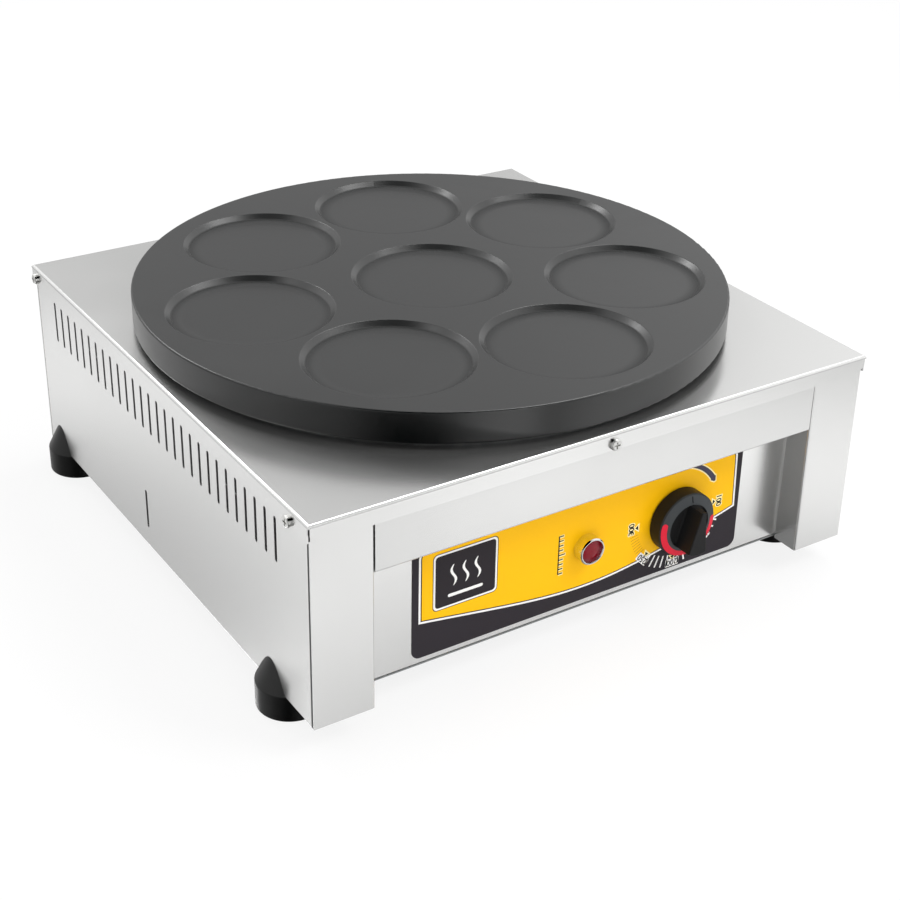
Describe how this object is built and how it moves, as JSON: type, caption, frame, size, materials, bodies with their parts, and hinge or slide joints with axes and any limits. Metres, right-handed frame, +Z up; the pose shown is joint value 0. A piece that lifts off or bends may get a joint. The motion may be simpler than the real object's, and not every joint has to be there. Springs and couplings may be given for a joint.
{
  "type": "electric crepe maker",
  "caption": "Countertop electric crepe maker: round cast griddle plate with shallow pancake pockets on a square stainless body with thermostat knob, pilot lamp and rubber feet.",
  "frame": {"origin": "on the surface the appliance stands on, under the middle of its body", "axes": "+Z up, +X to the right seen from the front, the front with the knob faces -Y"},
  "size_m": [0.427, 0.4192, 0.181],
  "materials": {
    "stainless": "satin brushed stainless steel sheet",
    "zinc_sheet": "zinc-plated steel sheet",
    "cast_plate": "machined and seasoned cast iron, matt dark grey",
    "fasteners": "bright zinc-plated steel",
    "heating_tube": "tempered nickel-steel tube, dull grey brown",
    "ceramic": "unglazed steatite, off-white",
    "fibre_board": "pressed ceramic fibre board, off-white",
    "copper": "bare copper",
    "foot_rubber": "moulded black rubber, satin",
    "knob_plastic": "moulded black phenolic, satin",
    "black_plastic": "moulded black polyamide",
    "label_film": "printed polyester film, dark grey ground",
    "chrome_trim": "polished chrome plating",
    "red_lens": "transparent red polycarbonate"
  },
  "bodies": {
    "housing": {"top_cover": "stainless", "left_side_panel": "stainless", "right_side_panel": "stainless", "left_post": "stainless", "right_post": "stainless", "front_rail": "stainless", "control_panel": "stainless", "rear_panel": "stainless", "base_plate": "zinc_sheet", "front_support_rail": "zinc_sheet", "rear_support_rail": "zinc_sheet", "heat_shield": "zinc_sheet", "plate_collar": "zinc_sheet", "bulb_saddle": "zinc_sheet", "griddle_plate": "cast_plate", "clamp_plate": "cast_plate", "cover_screws": "fasteners", "rear_screws": "fasteners", "cover_nuts": "fasteners", "rear_nuts": "fasteners", "foot_screws": "fasteners", "foot_nuts": "fasteners", "plate_studs": "fasteners", "stud_nuts": "fasteners", "thermostat_screws": "fasteners", "earth_nuts": "fasteners", "earth_stud": "fasteners", "outer_element": "heating_tube", "inner_element": "heating_tube", "element_terminals": "ceramic", "terminal_block": "ceramic", "insulation_disc": "fibre_board", "sensor_bulb": "copper", "capillary": "copper", "front_left_foot": "foot_rubber", "front_right_foot": "foot_rubber", "rear_left_foot": "foot_rubber", "rear_right_foot": "foot_rubber", "thermostat_body": "black_plastic", "lamp_body": "black_plastic", "cable_gland": "black_plastic", "gland_nut": "black_plastic", "lamp_nut": "black_plastic", "control_label": "label_film", "lamp_bezel": "chrome_trim", "lamp_lens": "red_lens"},
    "knob": {"control_knob": "knob_plastic", "thermostat_shaft": "fasteners"}
  },
  "joints": [
    {"name": "knob_turn", "type": "hinge", "parent": "housing", "child": "knob", "pos_m": [0.0738, -0.1843, 0.0623], "axis": [0, 1, 0], "range_deg": [0, 250]}
  ]
}
